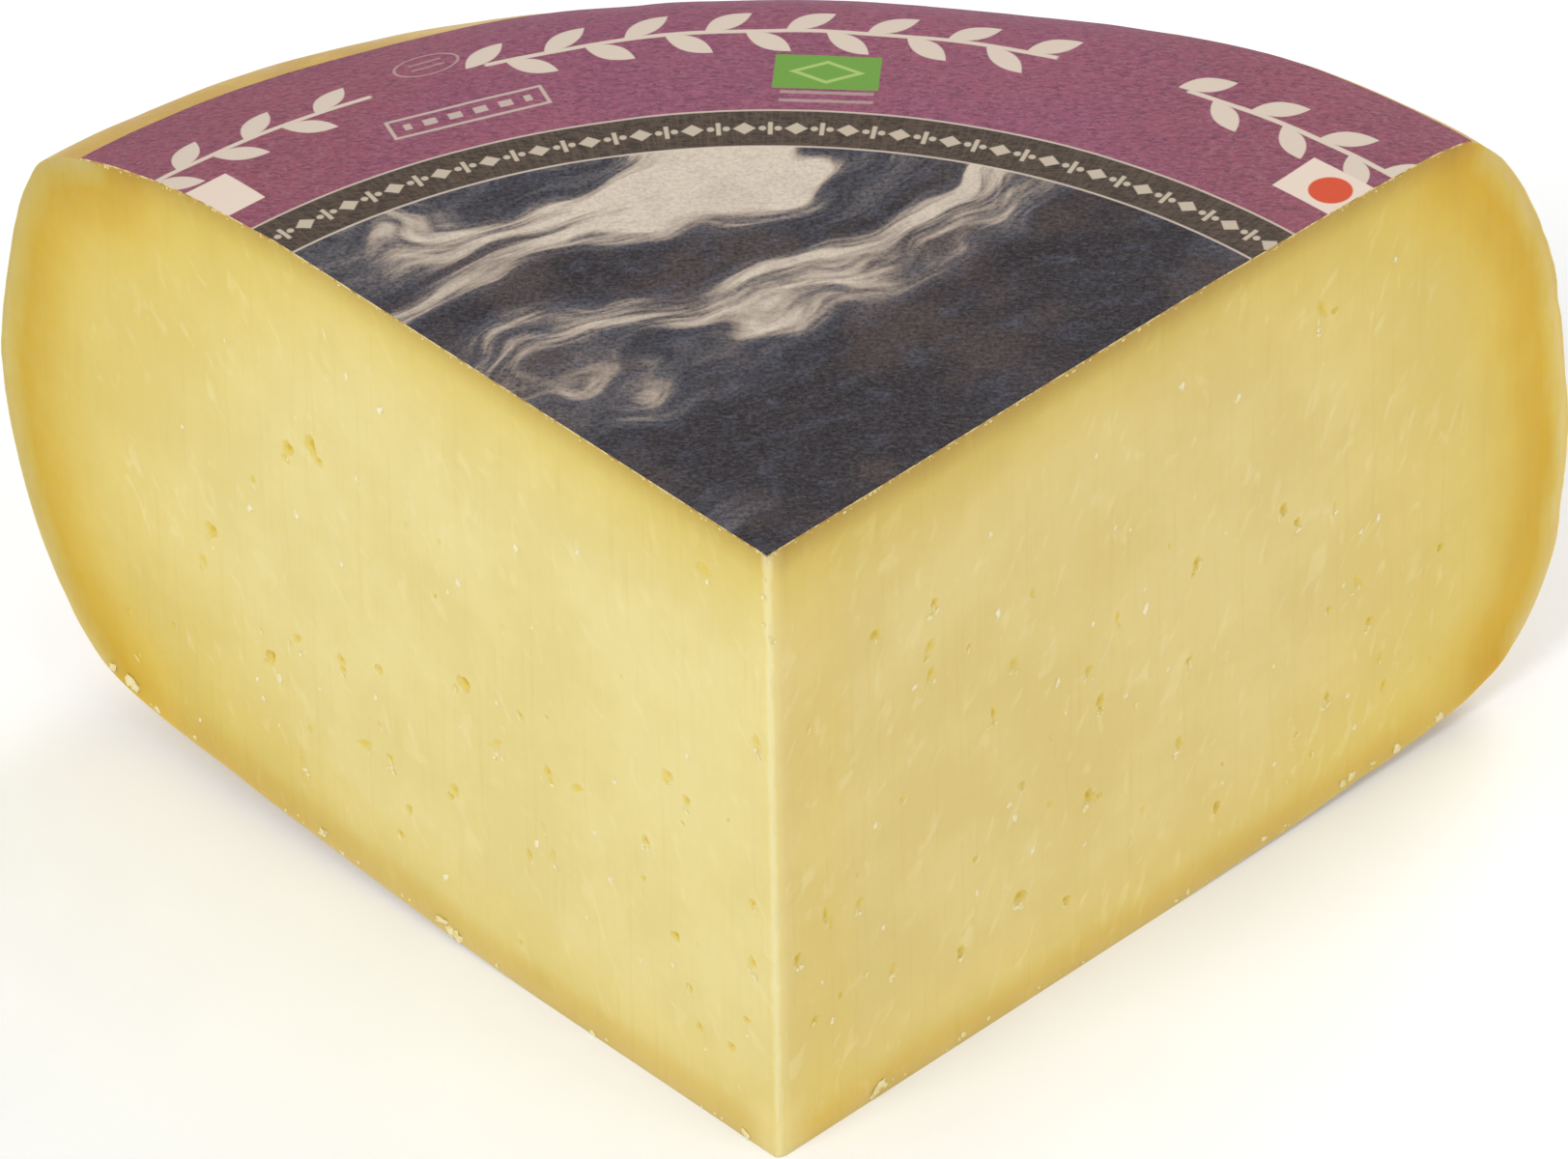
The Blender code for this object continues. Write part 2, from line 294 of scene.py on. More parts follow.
class Eye:
    """One hole in a cut: where it is, and how deep it is at any point of the cut."""

    def __init__(self, row, strength, rng):
        self.a, self.z, length, width, self.lean = row
        self.half = np.array((width / 2, length / 2))
        self.phases = [rng.uniform(0, math.tau) for _ in range(3)]
        self.strength = strength
        self.depth = min(length, width) * EYE_DEPTH * strength * rng.uniform(0.8, 1.25)
        self.slant = rng.uniform(0, math.tau)

    def ragged(self, angle):
        p = self.phases
        return (
            1 + 0.13 * np.sin(2 * angle + p[0]) + 0.11 * np.sin(3 * angle + p[1])
            + 0.07 * np.sin(5 * angle + p[2])
        )

    def points(self, rng):
        """Rings of points that carry the hole's shape."""
        c, s = math.cos(self.lean), math.sin(self.lean)
        result = [(self.a, self.z)]
        for q, count in EYE_RINGS:
            turn = rng.random()
            for i in range(count):
                angle = (i + turn) * math.tau / count
                x, y = self.half * q * self.ragged(angle) * (math.cos(angle), math.sin(angle))
                result.append((self.a + x * c + y * s, self.z - x * s + y * c))
        return result

    def ratio(self, a, z):
        """Distance from the hole's middle as a share of its ragged outline."""
        c, s = math.cos(self.lean), math.sin(self.lean)
        da, dz = a - self.a, z - self.z
        x, y = (da * c - dz * s) / self.half[0], (da * s + dz * c) / self.half[1]
        angle = np.arctan2(y, x)
        return np.hypot(x, y) / self.ragged(angle), angle

    def sink(self, a, z):
        q, angle = self.ratio(a, z)
        inside = np.clip(1 - q ** 2, 0, 1) ** 0.5
        lopsided = 1 + 0.35 * np.cos(angle - self.slant) * np.clip(q, 0, 1)
        lip = 0.06 * np.exp(-((q - 1.2) / 0.15) ** 2) * (q > 1)
        return self.depth * (inside * lopsided - lip)


def all_eyes(listed, rng):
    """The eyes of one cut: each larger one has a smaller lobe torn at its lower end."""
    for row in listed:
        a, z, length, width, lean = row
        yield Eye(row, rng.uniform(0.7, 1.1), rng)
        if length > LOBED_FROM:
            reach = length * rng.uniform(0.5, 0.8)
            side = rng.uniform(-0.5, 0.9) * width
            lobe = (
                a - reach * math.sin(lean) + side, z - reach * math.cos(lean),
                length * rng.uniform(0.35, 0.6), width * rng.uniform(0.5, 0.8),
                lean + rng.uniform(-0.7, 0.7),
            )
            yield Eye(lobe, rng.uniform(0.4, 0.9), rng)
    for row in scattered_eyes(rng, listed):
        yield Eye(row, rng.uniform(0.3, 0.95), rng)


def place_on_cut(a, z, inward, on_right):
    """Metres along a cut, height and depth into the cheese, as a point in space."""
    h = math.sqrt(0.5)
    along = np.array((h, h)) if on_right else np.array((-h, h))
    into = np.array((-h, h)) if on_right else np.array((h, h))
    xy = TIP + np.outer(a, along) + np.outer(inward, into)
    return np.column_stack((xy, z))


def tip_wear(z):
    """How far the upright edge at the tip is worn back, with a few small chips."""
    wear = EDGE_WEAR * (1 + 0.5 * np.array([fractal(v / 0.004, 3.1, 0) for v in z]))
    for middle, reach, depth in np.array(TIP_CHIPS) / 1000:
        wear += depth * np.exp(-((z - middle) / reach) ** 2)
    return wear


def wear_at(a, wear):
    """The tip's wear, carried a little way into each cut."""
    return wear * np.exp(-(a / EDGE_WEAR_REACH) ** 1.5)


def cut_relief(a, z, on_right):
    """The low waves that the knife left in a cut."""
    side = 5.0 if on_right else 11.0
    wave = np.array([
        fractal(x / CUT_WAVE_SIZE, y / CUT_WAVE_SIZE, side, 2) for x, y in zip(a, z)
    ])
    ridges = np.array([
        noise.noise((x / RIDGE_PITCH, y / RIDGE_LENGTH, side)) for x, y in zip(a, z)
    ])
    return CUT_WAVE * wave + RIDGE * ridges


def inside_outline(points, outline):
    """Which points lie in a closed outline."""
    x, y = points[:, 0], points[:, 1]
    odd = np.zeros(len(points), bool)
    for (x0, y0), (x1, y1) in zip(outline, np.roll(outline, -1, 0)):
        if y0 != y1:
            crosses = (y0 > y) != (y1 > y)
            odd ^= crosses & (x < (x1 - x0) * (y - y0) / (y1 - y0) + x0)
    return odd


def distance_to_run(points, run):
    """Shortest distance from each point to a run of straight pieces."""
    best = np.full(len(points), 1.0)
    for p, q in zip(run, run[1:]):
        d = q - p
        t = np.clip(((points - p) @ d) / max(d @ d, 1e-12), 0, 1)
        best = np.minimum(best, np.hypot(*(points - p - t[:, None] * d).T))
    return best


def fill_cut(outline, eyes, rng):
    """Triangles over one cut: an even grid of points, and finer ones round each eye."""
    low, high = outline.min(0), outline.max(0)
    a, z = np.meshgrid(
        np.arange(low[0] + CUT_GRID, high[0], CUT_GRID),
        np.arange(low[1] + CUT_GRID, high[1], CUT_GRID),
    )
    spread = np.random.default_rng(SEED).uniform(-1, 1, (a.size, 2)) * CUT_GRID * GRID_JITTER
    grid = np.column_stack((a.ravel(), z.ravel())) + spread
    keep = inside_outline(grid, outline) & (distance_to_run(grid, outline) > CUT_GRID * 0.5)
    for eye in eyes:
        keep &= eye.ratio(grid[:, 0], grid[:, 1])[0] > EYE_CLEARING
    grid = grid[keep]
    rings = np.array([p for eye in eyes for p in eye.points(rng)])
    rings = rings[inside_outline(rings, outline)]
    rings = rings[distance_to_run(rings, outline) > CUT_GRID * 0.2]
    inner = np.concatenate((grid, rings))
    everything = np.concatenate((outline, inner))
    count = len(outline)
    edges = [(i, (i + 1) % count) for i in range(count)]
    flat, _, faces, origin, _, _ = delaunay_2d_cdt(
        [Vector(p * 1000) for p in everything], edges, [], 1, 1e-6
    )
    used = [min(o) for o in origin]
    return inner, [tuple(used[i] for i in f) for f in faces]


def hole_depths(eyes, a, z):
    """How deep the eyes sink a cut at each point, and how strongly painted shade darkens it
    there.
    """
    sink, eye_shade = np.zeros(len(a)), np.zeros(len(a))
    for eye in eyes:
        near = np.hypot(a - eye.a, z - eye.z) < EYE_REACH * eye.half.max()
        depth, old = eye.sink(a[near], z[near]), sink[near]
        sink[near] = np.where(np.abs(depth) > np.abs(old), depth, old)
        share = eye.ratio(a[near], z[near])[0]
        shade = np.clip(PIT_REACH - share, 0, 1) * min(eye.strength, 1.0)
        eye_shade[near] = np.maximum(eye_shade[near], shade)
    return sink, eye_shade


def limits(side, a):
    """Lowest and highest point of a cut at distances from the tip, by its outer run."""
    widest = side[:, 0].argmax()
    upper, lower = side[:widest], side[widest:][::-1]
    return (
        np.interp(a, np.r_[0, lower[:, 0]], np.r_[0, lower[:, 1]]),
        np.interp(a, np.r_[0, upper[:, 0]], np.r_[HEIGHT, upper[:, 1]]),
    )


def measures(points, side):
    """Millimetres from the rind, the top, the foot and the tip at points of a cut."""
    steep = side[(side[:, 1] < HEIGHT - STEEP_BELOW_TOP) & (side[:, 1] > STEEP_ABOVE_FOOT)]
    under, over = limits(side, points[:, 0])
    return {
        "rim": distance_to_run(points, steep) / MM,
        "top": (over - points[:, 1]) / MM,
        "foot": (points[:, 1] - under) / MM,
        "tip": points[:, 0] / MM,
    }


def grid_faces(ids):
    """Faces between neighbouring columns of points that meet in one point at an end."""
    faces = []
    for left, right in zip(ids, ids[1:]):
        for k in range(len(left) - 1):
            ring = (left[k], right[k], right[k + 1], left[k + 1])
            faces.append(tuple(dict.fromkeys(int(i) for i in ring)))
    return faces


def linked(name, data):
    """A new object in the scene."""
    obj = bpy.data.objects.new(name, data)
    bpy.context.scene.collection.objects.link(obj)
    return obj


def smooth(mesh, sharp):
    """Smooth shading, apart from edges that turn by more than sharp degrees."""
    mesh.shade_smooth()
    mesh.set_sharp_from_angle(angle=math.radians(sharp))


def closed_object(name, verts, faces, materials, second_from, sharp):
    """A closed mesh. Its faces have the second material from one of them onwards."""
    mesh = bpy.data.meshes.new(name)
    mesh.from_pydata(verts, [], faces)
    for material in materials:
        mesh.materials.append(material)
    is_second = np.arange(len(faces)) >= second_from
    mesh.polygons.foreach_set("material_index", is_second.astype(np.int32))
    mesh.validate()
    bm = bmesh.new()
    bm.from_mesh(mesh)
    bmesh.ops.recalc_face_normals(bm, faces=bm.faces)
    bm.to_mesh(mesh)
    bm.free()
    smooth(mesh, sharp)
    return linked(name, mesh)


def build_cheese():
    """The closed outer form: rind, top, underside, and the two cuts with their eyes."""
    rng = random.Random(SEED)
    angles = np.linspace(RIGHT_CUT, LEFT_CUT, COLUMNS + 1)
    columns = [column_rows(a) for a in angles]
    rows = len(columns[0])
    tip_heights = np.linspace(0, HEIGHT, round(HEIGHT / TIP_STEP) + 1)
    wear = tip_wear(tip_heights)
    verts = [(TIP[0], TIP[1] + b, z) for b, z in zip(wear * math.sqrt(2), tip_heights)]
    tip_ids = list(range(len(verts)))
    ids = np.zeros((len(columns), rows), int)
    ids[:, 0], ids[:, -1] = tip_ids[-1], tip_ids[0]
    for line, degrees, column in zip(ids, angles, columns):
        c, s = direction(degrees)
        for k in range(1, rows - 1):
            line[k] = len(verts)
            r, z = column[k]
            verts.append((TIP[0] + r * c, TIP[1] + r * s, z))
    faces = grid_faces(ids)
    rind_faces = len(faces)
    marks = {name: np.zeros(len(verts)) for name in ("rim", "top", "foot", "tip", "pit_shade")}
    eye_sets = []
    for on_right, listed, j in ((True, RIGHT_EYES, 0), (False, LEFT_EYES, -1)):
        edge_ids = [int(i) for i in ids[j]] + tip_ids[1:-1]
        upright = np.column_stack((np.zeros(len(tip_ids) - 2), tip_heights[1:-1]))
        outline = np.concatenate((columns[j], upright))
        eyes = list(all_eyes([(*(v / 1000 for v in row[:4]), row[4]) for row in listed], rng))
        eye_sets.append(eyes)
        inner, triangles = fill_cut(outline, eyes, rng)
        a, z = inner.T
        sink, eye_shade = hole_depths(eyes, a, z)
        tip_wear_and_highlight = wear_at(a, np.interp(z, tip_heights, wear))
        calm = np.clip(distance_to_run(inner, outline) / CALM_REACH, 0, 1)
        inward = sink + tip_wear_and_highlight + cut_relief(a, z, on_right) * calm
        full = edge_ids + list(range(len(verts), len(verts) + len(inner)))
        verts.extend(map(tuple, place_on_cut(a, z, inward, on_right)))
        faces.extend(tuple(full[i] for i in t) for t in triangles)
        side = columns[j][FLAT_ROWS:rows - FLAT_ROWS]
        for name, values in (measures(inner, side) | {"pit_shade": eye_shade}).items():
            marks[name] = np.concatenate((marks[name], values))
        for name, values in measures(outline, side).items():
            marks[name][edge_ids] = values
    materials = (rind_material(), cut_material())
    body = closed_object("cheese_body", verts, faces, materials, rind_faces, 50)
    for name, values in marks.items():
        layer = body.data.attributes.new(name, "FLOAT", "POINT")
        layer.data.foreach_set("value", values.astype(np.float32))
    return body, eye_sets


def operator(operation, swapped=False):
    """A method that does one of Python's sums as shader math."""

    def method(self, other):
        pair = (other, self) if swapped else (self, other)
        return self.graph.math(operation, *pair)

    return method


class Field:
    """A number that varies over a surface: shader math written as plain sums."""

    def __init__(self, graph, socket):
        self.graph, self.socket = graph, socket

    __add__ = operator("ADD")
    __sub__ = operator("SUBTRACT")
    __rsub__ = operator("SUBTRACT", swapped=True)
    __mul__ = operator("MULTIPLY")
    __rmul__ = operator("MULTIPLY", swapped=True)
    __truediv__ = operator("DIVIDE")

    def size(self):
        return self.graph.math("ABSOLUTE", self)

    def wrap(self, period):
        """The value's place in a repeating stretch, from minus half of it to plus half."""
        return self.graph.math("FLOORED_MODULO", self, period) - period / 2


def linear(value):
    value /= 255
    return value / 12.92 if value <= 0.04045 else ((value + 0.055) / 1.055) ** 2.4


def rgb(red, green, blue):
    """A colour given as it shows on a screen, as the shader's own numbers."""
    return (linear(red), linear(green), linear(blue), 1.0)


# Where a Mix node keeps its two colours and its result, among its sockets for other types
MIX_FIRST = 6
MIX_SECOND = 7
MIX_COLOUR = 2


class Graph:
    """A material's nodes, with short calls for the ones that it needs."""

    def __init__(self, name):
        self.material = bpy.data.materials.new(name)
        self.material.use_nodes = True
        self.tree = self.material.node_tree
        self.shader = self.tree.nodes["Principled BSDF"]

    def put(self, socket, value):
        if isinstance(value, Field):
            self.tree.links.new(value.socket, socket)
        elif isinstance(value, bpy.types.NodeSocket):
            self.tree.links.new(value, socket)
        else:
            socket.default_value = value

    def node(self, kind, inputs=(), **settings):
        """A new node, with its settings and then its inputs by name or number."""
        node = self.tree.nodes.new("ShaderNode" + kind)
        for name, value in settings.items():
            setattr(node, name, value)
        for name, value in dict(inputs).items():
            self.put(node.inputs[name], value)
        return node

    def math(self, operation, first, second=0.0):
        node = self.node("Math", {0: first, 1: second}, operation=operation)
        return Field(self, node.outputs[0])

    def place(self):
        """Object coordinates, which are metres in the model's frame."""
        return self.node("TexCoord").outputs["Object"]

    def parts(self, vector):
        return [Field(self, out) for out in self.node("SeparateXYZ", {0: vector}).outputs]

    def vector(self, x, y, z):
        return self.node("CombineXYZ", {0: x, 1: y, 2: z}).outputs[0]

    def mark(self, name):
        """A measure stored on the mesh."""
        return Field(self, self.node("Attribute", attribute_name=name).outputs["Fac"])

    def noise(self, vector, scale, detail=2.0, roughness=0.5, distortion=0.0):
        node = self.node("TexNoise", {
            "Vector": vector, "Scale": scale, "Detail": detail, "Roughness": roughness,
            "Distortion": distortion,
        })
        return Field(self, node.outputs["Fac"])

    def rise(self, value, start, end, low=0.0, high=1.0):
        """low before start, high after end, and smoothly between."""
        node = self.node("MapRange", {
            "Value": value, "From Min": start, "From Max": end, "To Min": low, "To Max": high,
        }, interpolation_type="SMOOTHSTEP")
        return Field(self, node.outputs[0])

    def band(self, value, low, high, soft):
        """1 between low and high, 0 outside."""
        return self.rise(value, low - soft, low + soft) * self.rise(
            value, high - soft, high + soft, 1.0, 0.0
        )

    def mix(self, factor, first, second, blend="MIX"):
        inputs = {"Factor": factor, MIX_FIRST: first, MIX_SECOND: second}
        node = self.node("Mix", inputs, data_type="RGBA", blend_type=blend)
        return node.outputs[MIX_COLOUR]

    def coats(self, base, *coats):
        """A colour with others laid over it in turn: factor, colour and perhaps blend."""
        for factor, colour, *blend in coats:
            base = self.mix(factor, base, colour, *blend)
        return base

    def ramp(self, value, stops):
        node = self.node("ValToRGB", {0: value})
        elements = node.color_ramp.elements
        elements[0].position, elements[0].color = stops[0]
        elements[1].position, elements[1].color = stops[-1]
        for position, shade in stops[1:-1]:
            elements.new(position).color = shade
        return node.outputs[0]

    def bump(self, height, distance, strength):
        inputs = {"Strength": strength, "Distance": distance, "Height": height}
        self.put(self.shader.inputs["Normal"], self.node("Bump", inputs).outputs[0])

    def finish(self, colour, roughness, **plain):
        self.put(self.shader.inputs["Base Color"], colour)
        self.put(self.shader.inputs["Roughness"], roughness)
        for name, value in plain.items():
            self.shader.inputs[name.replace("_", " ")].default_value = value
        return self.material


# The paste's colour by millimetres from the rind, on the left and on the right cut.
# The gold towards the rind is the paste's own; the differences between the cuts are painted light
# and shade
RIM_LEFT = (
    (0.8, (198, 180, 106)), (2.1, (198, 173, 74)), (4.4, (199, 163, 32)), (8.4, (206, 174, 56)),
    (12.5, (214, 187, 86)), (18.0, (216, 194, 102)), (27.0, (219, 199, 114)),
    (38.0, (222, 204, 127)), (50.0, (224, 208, 138)),
)
RIM_RIGHT = (
    (0.8, (217, 195, 122)), (2.1, (214, 186, 80)), (4.2, (211, 170, 32)), (7.6, (214, 176, 50)),
    (11.0, (219, 189, 80)), (16.0, (220, 195, 102)), (24.0, (220, 197, 111)),
    (36.0, (222, 200, 121)), (50.0, (221, 200, 128)),
)
# Tints by millimetres below the top edge and above the foot; above the foot of the right cut
# most of it is painted light that brightens the shade near the floor
TOP_TINT = (
    (0.4, (219, 201, 138)), (2.0, (232, 219, 164)), (4.0, (243, 236, 192)),
    (7.0, (249, 244, 214)), (12.0, (253, 251, 237)), (20.0, (255, 255, 255)),
)
FOOT_TINT_LEFT = (
    (0.5, (241, 226, 203)), (2.8, (241, 228, 185)), (4.2, (244, 232, 194)),
    (6.5, (250, 246, 224)), (10.0, (254, 251, 237)), (16.0, (255, 255, 255)),
)
# Above the foot of the right cut: a little warmer at the edge, then painted light against the
# shade near the floor
FOOT_TINT_AND_LIGHT_RIGHT = (
    (0.5, (251, 241, 218)), (2.8, (255, 243, 199)), (4.2, (257, 250, 214)),
    (6.5, (261, 260, 243)), (10.0, (262, 262, 257)), (16.0, (258, 259, 258)),
    (30.0, (255, 255, 255)),
)
GOLDEN = rgb(223, 196, 98)
TOP_SHADE = rgb(168, 136, 56)
# Painted highlight along the upright edge at the tip
TIP_HIGHLIGHT = rgb(229, 221, 173)
TIP_WARM = rgb(233, 217, 150)
SCUFF_PALE = rgb(232, 219, 162)
# Painted shade in the eyes' hollows: a golden tint, and a darker core
PIT_GOLD = rgb(222, 197, 86)
PIT_CORE = rgb(204, 174, 48)
LIGHT_TINT = (1.005, 1.01, 1.05, 1.0)
DARK_TINT = (0.945, 0.93, 0.86, 1.0)
STREAK_TINT = (0.93, 0.90, 0.80, 1.0)
# Painted light on the low rim of the left cut, and painted shade on the low rim of the right cut
LOW_PAINTED_LIGHT_LEFT = (1.12, 1.13, 1.09, 1.0)
LOW_PAINTED_SHADE_RIGHT = (0.93, 0.92, 0.90, 1.0)


def by_reach(g, value, stops):
    """A run of colours over a measure in millimetres."""
    last = stops[-1][0]
    return g.ramp(value / last, [(place / last, rgb(*shade)) for place, shade in stops])


def scuffs(g, along, height, side):
    """Faint pale smears that lean the way the knife went."""
    lean = math.radians(66)
    down = along * math.cos(lean) + height * math.sin(lean)
    over = height * math.cos(lean) - along * math.sin(lean)
    smear = g.noise(g.vector(over * 0.4, down * 0.18, side * 40), 1.0, 2, 0.5, 0.6)
    patch = g.noise(g.vector(along * 0.06, height * 0.06, side * 17), 1.0, 2)
    return g.rise(smear + (patch - 0.5) * 0.3, 0.56, 0.76)


def cut_material():
    """Pale yellow paste, golden towards the rind, with fine knife marks, and painted light and
    shade: in the eyes, at the tip's edge, low down and by cut.
    """
    g = Graph("cut_paste")
    here = g.place()
    x, y, z = g.parts(here)
    rim, top, foot, tip, pit_shade = map(g.mark, ("rim", "top", "foot", "tip", "pit_shade"))
    # Which cut a point lies on, 0 on the left and 1 on the right; colours that differ by cut are
    # partly painted light and shade
    side = g.rise(x, TIP[0], TIP[0] + 0.0015)
    waver = (g.noise(here, 60, 3) - 0.5) * 5
    clouds = g.noise(here, 45, 4, 0.6)
    mottle = g.noise(here, 420, 4, 0.7)
    streaks = g.noise(g.vector(x * 900, y * 900, z * 45), 1.0, 3, 0.6)
    torn = g.noise(g.vector(x * 380, y * 380, z * 80), 1.0, 3, 0.65) - 0.5
    depth = rim + waver * g.rise(rim, 2, 14, 0.15, 1) + torn * g.rise(rim, 10, 4, 0, 3.2)
    cloud_tint = g.mix(g.rise(clouds, 0.35, 0.65), LIGHT_TINT, DARK_TINT)
    scuffed = scuffs(g, tip, z / MM, side) * g.rise(rim, 9, 24, 0, 0.34)
    above = foot + waver * 0.3
    # colour near the foot: darker and warmer on the left, painted light on the right
    foot_tint_and_light = g.mix(
        side, by_reach(g, above, FOOT_TINT_LEFT), by_reach(g, above, FOOT_TINT_AND_LIGHT_RIGHT)
    )
    top_tint = by_reach(g, top + waver * 0.15, TOP_TINT)
    # painted light on the left cut's low rim, painted shade on the right cut's
    low_painted_light_and_shade = g.mix(side, LOW_PAINTED_LIGHT_LEFT, LOW_PAINTED_SHADE_RIGHT)
    low = g.rise(z + (1 - side) * 0.015, 0.045, 0.02)
    shaded = side * g.rise(top, 5, 0.4, 0, 0.32) * g.rise(rim, 6, 30, 0.3, 1)
    ragged = g.noise(g.vector(x * 500, y * 500, z * 260), 1.0, 3, 0.6) - 0.5
    # Ragged distance from the tip's upright edge, where the painted highlight lies
    tip_wear_and_highlight = tip + ragged * 1.2 - g.rise(top, 17, 3, 0, 0.2)
    base = g.coats(
        # paste colour by cut: the paste's own gold, and painted light and shade between the cuts
        g.mix(side, by_reach(g, depth, RIM_LEFT), by_reach(g, depth, RIM_RIGHT)),
        (side * g.band(tip, 3.2, 13, 2.5) * 0.3, GOLDEN),
        (1.0, cloud_tint, "MULTIPLY"),
        (g.rise(mottle, 0.35, 0.75, 0, 0.6), LIGHT_TINT, "MULTIPLY"),
        (g.rise(streaks, 0.5, 0.8, 0, 0.45), STREAK_TINT, "MULTIPLY"),
        (scuffed, SCUFF_PALE),
        # near the foot: tint, and painted light on the right cut
        (g.rise(rim, 6, 24, 0.45, 1), foot_tint_and_light, "MULTIPLY"),
        (g.rise(rim, 2, 9, 0.45, 1), top_tint, "MULTIPLY"),
        # painted light and shade on the low rim
        (g.rise(rim, 20, 8) * low, low_painted_light_and_shade, "MULTIPLY"),
        (shaded, TOP_SHADE),
        # painted highlight along the tip's upright edge
        (g.rise(tip_wear_and_highlight, 1.1, 0.1, 0, 0.58), TIP_HIGHLIGHT),
        (g.rise(tip_wear_and_highlight, 7, 1.5) * g.rise(foot, 11, 4, 0, 0.5), TIP_WARM),
        (side * g.rise(tip_wear_and_highlight, 2.8, 0.8, 0, 0.35), TIP_WARM),
        # painted shade in the eyes' hollows
        (g.rise(pit_shade, 0.02, 0.75, 0, 0.95), PIT_GOLD),
        (g.rise(pit_shade, 0.55, 1.0, 0, 0.8), PIT_CORE),
    )
    relief = streaks * 0.35 + mottle * 0.45 + g.noise(here, 1500, 2) * 0.2
    g.bump(relief, 0.00022, 0.5)
    rough = g.rise(mottle, 0.3, 0.7, 0.42, 0.6)
    return g.finish(
        base, rough, Subsurface_Weight=0.25, Subsurface_Scale=0.004,
        Subsurface_Radius=(1.0, 0.65, 0.2), Specular_IOR_Level=0.35,
    )


def rind_material():
    """The dry golden skin of the wheel, with faint cloth marks and scuffs."""
    g = Graph("rind")
    here = g.place()
    clouds = g.noise(here, 38, 4, 0.6)
    blotch = g.noise(here, 140, 4, 0.65, 0.4)
    grain = g.noise(here, 900, 3, 0.6)
    base = g.coats(
        g.mix(g.rise(clouds, 0.35, 0.65), rgb(203, 168, 78), rgb(192, 151, 58)),
        (g.rise(blotch, 0.45, 0.75, 0, 0.5), rgb(214, 185, 104)),
        (g.rise(grain, 0.5, 0.75, 0, 0.3), rgb(176, 135, 51)),
    )
    g.bump(blotch * 0.6 + grain * 0.4, 0.0004, 0.5)
    rough = g.rise(blotch, 0.3, 0.7, 0.38, 0.55)
    return g.finish(
        base, rough, Subsurface_Weight=0.15, Subsurface_Scale=0.003,
        Subsurface_Radius=(1.0, 0.6, 0.2), Specular_IOR_Level=0.4,
    )


# The label's print: colours, and sizes and places in millimetres from the wheel's middle
CREAM = rgb(207, 192, 177)
INK = rgb(196, 180, 168)
SIDE_TINT = (1.0, 0.96, 0.82, 1.0)
BAND_EDGE = 99.2
MIDDLE_EDGE = 91.6
RING_MIDDLE = 95.4
GARLAND_RADIUS = 117.2
GARLAND_RUNS = ((-112.0, -53.0), (-37.5, 37.0), (55.0, 116.0))
LEAF_PITCH = 10.4
LEAF_LENGTH = 3.8
LEAF_WIDTH = 1.65
BEAD_PITCH = 6.6


def turned(g, x, y, middle_x, middle_y, degrees):
    """Coordinates of a small field of print, in its own turned frame."""
    c, s = direction(degrees)
    dx, dy = x - middle_x, y - middle_y
    return dx * c + dy * s, dy * c - dx * s


def oblong(g, u, v, half_u, half_v, soft=0.12):
    """1 inside an upright oblong."""
    return g.rise(u.size(), half_u - soft, half_u + soft, 1, 0) * g.rise(
        v.size(), half_v - soft, half_v + soft, 1, 0
    )


def length(g, u, v):
    return g.math("SQRT", u * u + v * v)


def leaf(g, u, v, middle_u, middle_v, degrees):
    """1 inside a pointed leaf."""
    a, b = turned(g, u, v, middle_u, middle_v, degrees)
    reach = (a / LEAF_LENGTH) * (a / LEAF_LENGTH) + (b / LEAF_WIDTH).size()
    return g.rise(reach, 0.92, 1.08, 1, 0)


def most(g, *fields):
    result = fields[0]
    for field in fields[1:]:
        result = g.math("MAXIMUM", result, field)
    return result


def garland(g, angle, radius):
    """1 on a leafy garland that runs round the band in three stretches."""
    along, lift = angle * GARLAND_RADIUS, radius - GARLAND_RADIUS
    upper, lower = along.wrap(LEAF_PITCH), (along + LEAF_PITCH / 2).wrap(LEAF_PITCH)

    def inside(where):
        return most(g, *(g.band(where, a, b, 0.3) for a, b in GARLAND_RUNS))

    return most(
        g,
        inside(along) * g.rise(lift.size(), 0.3, 0.55, 1, 0),
        inside(along - upper) * leaf(g, upper, lift, -0.6, 2.5, 38),
        inside(along - lower) * leaf(g, lower, lift, -0.6, -2.5, -38),
    )


